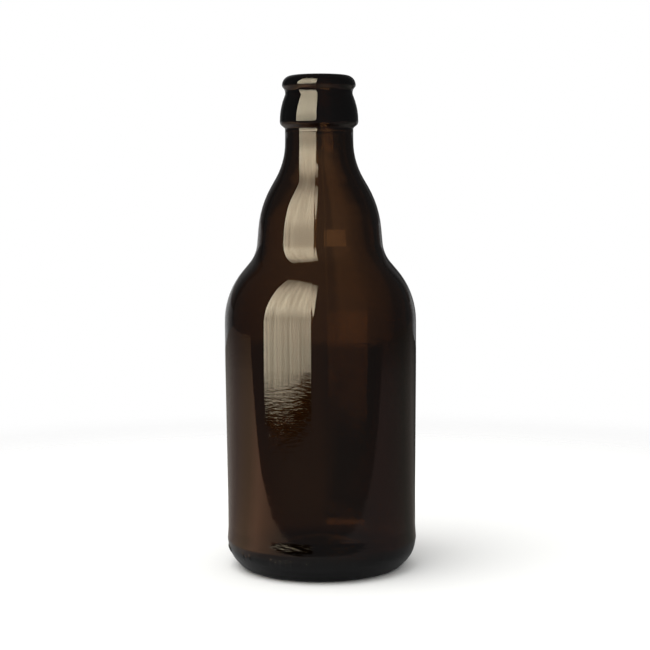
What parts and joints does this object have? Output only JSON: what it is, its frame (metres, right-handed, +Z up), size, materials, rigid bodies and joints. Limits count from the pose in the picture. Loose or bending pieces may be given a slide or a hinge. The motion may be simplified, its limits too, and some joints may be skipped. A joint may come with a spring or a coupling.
{
  "type": "stubby beer bottle",
  "caption": "Empty stubby beer bottle in clear amber glass: crown-cap finish, swelling neck, rounded shoulder, straight body and pushed-up base.",
  "frame": {"origin": "centre of the base, on the surface that the bottle stands on", "axes": "+Z up along the bottle's axis, towards the mouth; -Y faces the viewer"},
  "size_m": [0.0698, 0.0698, 0.1788],
  "materials": {
    "amber_glass": "clear, glossy"
  },
  "bodies": {
    "root": {"bottle": "amber_glass"}
  },
  "joints": []
}
